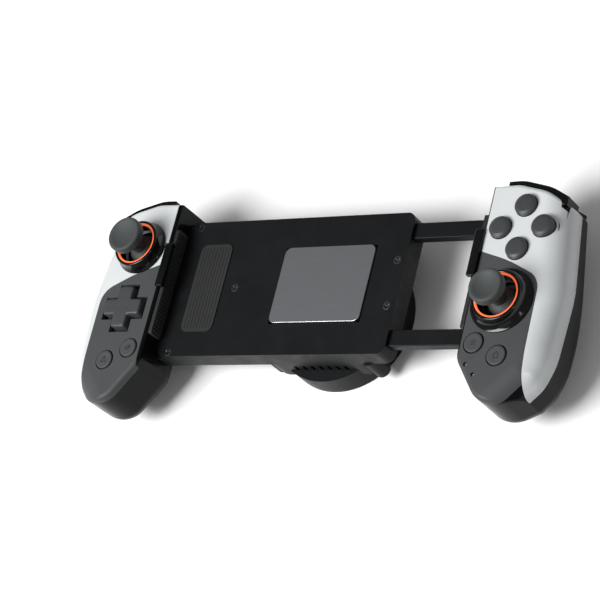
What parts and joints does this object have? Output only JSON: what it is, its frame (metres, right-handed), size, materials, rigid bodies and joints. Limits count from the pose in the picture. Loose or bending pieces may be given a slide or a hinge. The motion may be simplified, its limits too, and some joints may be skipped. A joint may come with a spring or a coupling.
{
  "type": "cooling gamepad",
  "caption": "Telescopic mobile game controller: two grips with sticks, direction pad, buttons, bumpers and triggers clamp a phone on a fan-cooled thermoelectric plate.",
  "frame": {"origin": "centre of the cold plate face that the back of the phone rests on", "axes": "+X to the right along the phone, +Y toward the triggers (top edge), +Z out of the screen toward the player"},
  "size_m": [0.2304, 0.0938, 0.0499],
  "materials": {
    "white_gloss": "satin silver-white lacquered ABS",
    "graphite_plastic": "fine matte graphite ABS",
    "black_plastic": "satin black ABS",
    "button_plastic": "matte black button plastic",
    "collar_gloss": "polished black plastic",
    "light_ring": "orange translucent ring",
    "stick_rubber": "soft-touch rubber",
    "pad_rubber": "silicone pad",
    "silicone_sheet": "grey silicone",
    "circuit_board": "solder-masked glass-epoxy board",
    "steel": "bright steel",
    "aluminium": "anodised aluminium",
    "ceramic": "thermoelectric ceramic",
    "lens": "clear light pipe",
    "inner_plastic": "moulded acetal"
  },
  "bodies": {
    "chassis": {"left_white_cover": "white_gloss", "left_dark_cover": "graphite_plastic", "left_rear_shell": "black_plastic", "left_shell_screws": "steel", "left_circuit_board": "circuit_board", "left_switch_sheet": "silicone_sheet", "left_stick_module": "inner_plastic", "left_stick_collar": "collar_gloss", "left_stick_light_ring": "light_ring", "left_trigger_pin": "steel", "left_clamp_pad": "pad_rubber", "left_phone_lip": "collar_gloss", "bridge_tray": "black_plastic", "bridge_cover": "black_plastic", "bridge_screws": "steel", "phone_rest_pad": "pad_rubber", "return_springs": "steel", "cold_plate": "aluminium", "peltier_element": "ceramic", "heat_sink": "aluminium", "cooler_housing": "black_plastic", "cooler_screws": "steel", "fan_mount": "black_plastic", "fan_grille": "black_plastic", "power_board": "circuit_board"},
    "right_handle": {"right_white_cover": "white_gloss", "right_dark_cover": "graphite_plastic", "right_rear_shell": "black_plastic", "right_shell_screws": "steel", "right_circuit_board": "circuit_board", "right_switch_sheet": "silicone_sheet", "right_stick_module": "inner_plastic", "right_stick_collar": "collar_gloss", "right_stick_light_ring": "light_ring", "right_trigger_pin": "steel", "right_clamp_pad": "pad_rubber", "right_phone_lip": "collar_gloss", "slider_frame": "black_plastic", "indicator_lenses": "lens"},
    "face_button_top": {"face_button_top": "button_plastic"},
    "face_button_right": {"face_button_right": "button_plastic"},
    "face_button_bottom": {"face_button_bottom": "button_plastic"},
    "face_button_left": {"face_button_left": "button_plastic"},
    "view_button": {"view_button": "graphite_plastic"},
    "share_button": {"share_button": "graphite_plastic"},
    "menu_button": {"menu_button": "graphite_plastic"},
    "home_button": {"home_button": "graphite_plastic"},
    "right_stick_gimbal": {"right_stick_gimbal": "inner_plastic"},
    "right_stick_stem": {"right_stick_stem": "inner_plastic"},
    "right_stick_cap": {"right_stick_cap": "stick_rubber"},
    "right_bumper": {"right_bumper": "collar_gloss"},
    "right_trigger": {"right_trigger": "black_plastic"},
    "left_stick_gimbal": {"left_stick_gimbal": "inner_plastic"},
    "left_stick_stem": {"left_stick_stem": "inner_plastic"},
    "left_stick_cap": {"left_stick_cap": "stick_rubber"},
    "left_bumper": {"left_bumper": "collar_gloss"},
    "left_trigger": {"left_trigger": "black_plastic"},
    "direction_pad_post": {"direction_pad_post": "inner_plastic"},
    "direction_pad": {"direction_pad": "graphite_plastic"},
    "fan_rotor": {"fan_rotor": "black_plastic"}
  },
  "joints": [
    {"name": "phone_clamp_slide", "type": "slide", "parent": "chassis", "child": "right_handle", "axis": [1, 0, 0], "range_m": [-0.037, 0.022], "deforming": ["return_springs"]},
    {"name": "face_button_top_press", "type": "slide", "parent": "right_handle", "child": "face_button_top", "axis": [0, 0, -1], "range_m": [0, 0.0012], "stiffness_N_per_m": 350, "springref_m": -0.0008},
    {"name": "face_button_right_press", "type": "slide", "parent": "right_handle", "child": "face_button_right", "axis": [0, 0, -1], "range_m": [0, 0.0012], "stiffness_N_per_m": 350, "springref_m": -0.0008},
    {"name": "face_button_bottom_press", "type": "slide", "parent": "right_handle", "child": "face_button_bottom", "axis": [0, 0, -1], "range_m": [0, 0.0012], "stiffness_N_per_m": 350, "springref_m": -0.0008},
    {"name": "face_button_left_press", "type": "slide", "parent": "right_handle", "child": "face_button_left", "axis": [0, 0, -1], "range_m": [0, 0.0012], "stiffness_N_per_m": 350, "springref_m": -0.0008},
    {"name": "view_button_press", "type": "slide", "parent": "chassis", "child": "view_button", "axis": [0, 0, -1], "range_m": [0, 0.0008], "stiffness_N_per_m": 400, "springref_m": -0.0008},
    {"name": "share_button_press", "type": "slide", "parent": "chassis", "child": "share_button", "axis": [0, 0, -1], "range_m": [0, 0.0008], "stiffness_N_per_m": 400, "springref_m": -0.0008},
    {"name": "menu_button_press", "type": "slide", "parent": "right_handle", "child": "menu_button", "axis": [0, 0, -1], "range_m": [0, 0.0008], "stiffness_N_per_m": 400, "springref_m": -0.0008},
    {"name": "home_button_press", "type": "slide", "parent": "right_handle", "child": "home_button", "axis": [0, 0, -1], "range_m": [0, 0.0008], "stiffness_N_per_m": 400, "springref_m": -0.0008},
    {"name": "right_stick_up_down", "type": "hinge", "parent": "right_handle", "child": "right_stick_gimbal", "pos_m": [0.0913, -0.014, 0.001], "axis": [1, 0, 0], "range_deg": [-14, 14], "stiffness_Nm_per_rad": 0.03},
    {"name": "right_stick_left_right", "type": "hinge", "parent": "right_stick_gimbal", "child": "right_stick_stem", "pos_m": [0.0913, -0.014, 0.001], "axis": [0, 1, 0], "range_deg": [-14, 14], "stiffness_Nm_per_rad": 0.03},
    {"name": "right_stick_click", "type": "slide", "parent": "right_stick_stem", "child": "right_stick_cap", "axis": [0, 0, -1], "range_m": [0, 0.0005], "stiffness_N_per_m": 2500, "springref_m": -0.0004},
    {"name": "right_bumper_press", "type": "hinge", "parent": "right_handle", "child": "right_bumper", "pos_m": [0.0845, 0.0328, 0.0017], "axis": [0, 0, -1], "range_deg": [0, 2.2], "stiffness_Nm_per_rad": 0.8, "springref_deg": -1.15},
    {"name": "right_trigger_pull", "type": "hinge", "parent": "right_handle", "child": "right_trigger", "pos_m": [0.095, 0.024, -0.0079], "axis": [-1, 0, 0], "range_deg": [0, 12], "stiffness_Nm_per_rad": 0.05, "springref_deg": -8.59},
    {"name": "left_stick_up_down", "type": "hinge", "parent": "chassis", "child": "left_stick_gimbal", "pos_m": [-0.0904, 0.015, 0.001], "axis": [1, 0, 0], "range_deg": [-14, 14], "stiffness_Nm_per_rad": 0.03},
    {"name": "left_stick_left_right", "type": "hinge", "parent": "left_stick_gimbal", "child": "left_stick_stem", "pos_m": [-0.0904, 0.015, 0.001], "axis": [0, 1, 0], "range_deg": [-14, 14], "stiffness_Nm_per_rad": 0.03},
    {"name": "left_stick_click", "type": "slide", "parent": "left_stick_stem", "child": "left_stick_cap", "axis": [0, 0, -1], "range_m": [0, 0.0005], "stiffness_N_per_m": 2500, "springref_m": -0.0004},
    {"name": "left_bumper_press", "type": "hinge", "parent": "chassis", "child": "left_bumper", "pos_m": [-0.0845, 0.0328, 0.0017], "axis": [0, 0, 1], "range_deg": [0, 2.2], "stiffness_Nm_per_rad": 0.8, "springref_deg": -1.15},
    {"name": "left_trigger_pull", "type": "hinge", "parent": "chassis", "child": "left_trigger", "pos_m": [-0.095, 0.024, -0.0079], "axis": [-1, 0, 0], "range_deg": [0, 12], "stiffness_Nm_per_rad": 0.05, "springref_deg": -8.59},
    {"name": "direction_pad_up_down", "type": "hinge", "parent": "chassis", "child": "direction_pad_post", "pos_m": [-0.091, -0.013, -0.002], "axis": [1, 0, 0], "range_deg": [-4, 4], "stiffness_Nm_per_rad": 0.06},
    {"name": "direction_pad_left_right", "type": "hinge", "parent": "direction_pad_post", "child": "direction_pad", "pos_m": [-0.091, -0.013, 0.002], "axis": [0, 1, 0], "range_deg": [-4, 4], "stiffness_Nm_per_rad": 0.06},
    {"name": "fan_spin", "type": "hinge", "parent": "chassis", "child": "fan_rotor", "pos_m": [0, -0.006, -0.0229], "axis": [0, 0, 1], "continuous": true}
  ]
}
